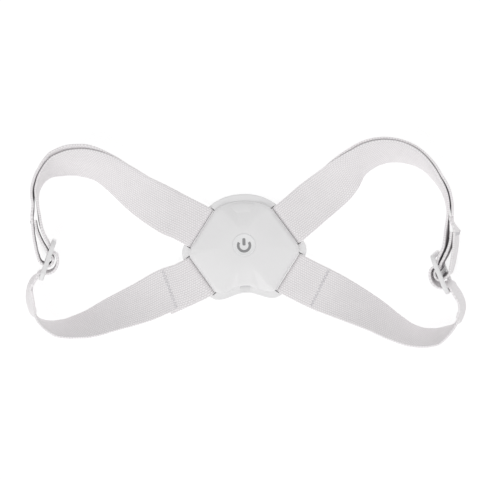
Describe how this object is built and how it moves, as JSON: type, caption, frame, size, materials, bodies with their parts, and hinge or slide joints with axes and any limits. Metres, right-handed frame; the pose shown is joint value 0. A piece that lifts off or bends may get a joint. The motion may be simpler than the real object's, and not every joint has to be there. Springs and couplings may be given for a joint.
{
  "type": "back brace",
  "caption": "Posture brace: a domed sensor housing with a power button on the back, and a shoulder loop of elastic webbing with a slider buckle on each side.",
  "frame": {"origin": "on the flat back face of the housing, on the button's axis", "axes": "+X from the left loop to the right loop as seen from the front, +Y towards the shoulder straps, +Z out through the button"},
  "size_m": [0.3145, 0.1512, 0.037],
  "materials": {
    "housing_plastic": "satin white moulded ABS",
    "button_plastic": "satin white moulded ABS, dished",
    "webbing": "white woven elastic webbing",
    "thread": "white polyester sewing thread",
    "slider_plastic": "white moulded acetal",
    "symbol_print": "grey pad print",
    "circuit_board": "green solder mask",
    "black_component": "black moulded epoxy",
    "steel": "plated steel",
    "battery_foil": "pouch cell foil",
    "foam": "adhesive foam",
    "red_lead": "red wire insulation",
    "black_lead": "black wire insulation",
    "light_window": "clear diffused epoxy"
  },
  "bodies": {
    "housing": {"front_cover": "housing_plastic", "back_cover": "housing_plastic", "cover_screw_1": "steel", "cover_screw_2": "steel", "cover_screw_3": "steel", "cover_screw_4": "steel", "circuit_board": "circuit_board", "switch_body": "black_component", "microcontroller": "black_component", "motion_sensor": "black_component", "status_led": "light_window", "chip_component_1": "black_component", "chip_component_2": "black_component", "chip_component_3": "black_component", "chip_component_4": "black_component", "chip_component_5": "black_component", "chip_component_6": "black_component", "charging_socket": "steel", "battery": "battery_foil", "battery_pad": "foam", "battery_lead_red": "red_lead", "battery_lead_black": "black_lead", "vibration_motor": "steel", "motor_pad": "foam", "motor_lead_red": "red_lead", "motor_lead_black": "black_lead", "left_shoulder_turn": "webbing", "left_underarm_turn": "webbing", "right_shoulder_turn": "webbing", "right_underarm_turn": "webbing"},
    "button": {"button_cap": "button_plastic", "switch_plunger": "black_component"},
    "left_loop": {"left_outer_shoulder_strap": "webbing", "left_inner_shoulder_strap": "webbing", "left_underarm_strap": "webbing", "left_outer_strap_end": "webbing", "left_inner_strap_end": "webbing", "left_underarm_strap_end": "webbing"},
    "left_buckle": {"left_slider": "slider_plastic", "left_slider_wrap": "webbing", "left_sewn_loop": "webbing"},
    "right_loop": {"right_outer_shoulder_strap": "webbing", "right_inner_shoulder_strap": "webbing", "right_underarm_strap": "webbing", "right_outer_strap_end": "webbing", "right_inner_strap_end": "webbing", "right_underarm_strap_end": "webbing"},
    "right_buckle": {"right_slider": "slider_plastic", "right_slider_wrap": "webbing", "right_sewn_loop": "webbing"}
  },
  "joints": [
    {"name": "button_press", "type": "slide", "parent": "housing", "child": "button", "axis": [0, 0, 1], "range_m": [-0.0006, 0], "stiffness_N_per_m": 300, "springref_m": 0.0005},
    {"name": "left_fold", "type": "hinge", "parent": "housing", "child": "left_loop", "pos_m": [-0.056, 0, 0.006], "axis": [0, 1, 0], "range_deg": [-90, 90]},
    {"name": "left_adjust", "type": "slide", "parent": "left_loop", "child": "left_buckle", "axis": [0.3621, 0.9322, 0], "range_m": [-0.01, 0.01], "deforming": ["left_outer_strap_end", "left_inner_strap_end", "left_underarm_strap_end"]},
    {"name": "right_fold", "type": "hinge", "parent": "housing", "child": "right_loop", "pos_m": [0.056, 0, 0.006], "axis": [0, -1, 0], "range_deg": [-90, 90]},
    {"name": "right_adjust", "type": "slide", "parent": "right_loop", "child": "right_buckle", "axis": [-0.349, 0.9371, 0], "range_m": [-0.01, 0.01], "deforming": ["right_outer_strap_end", "right_inner_strap_end", "right_underarm_strap_end"]}
  ]
}
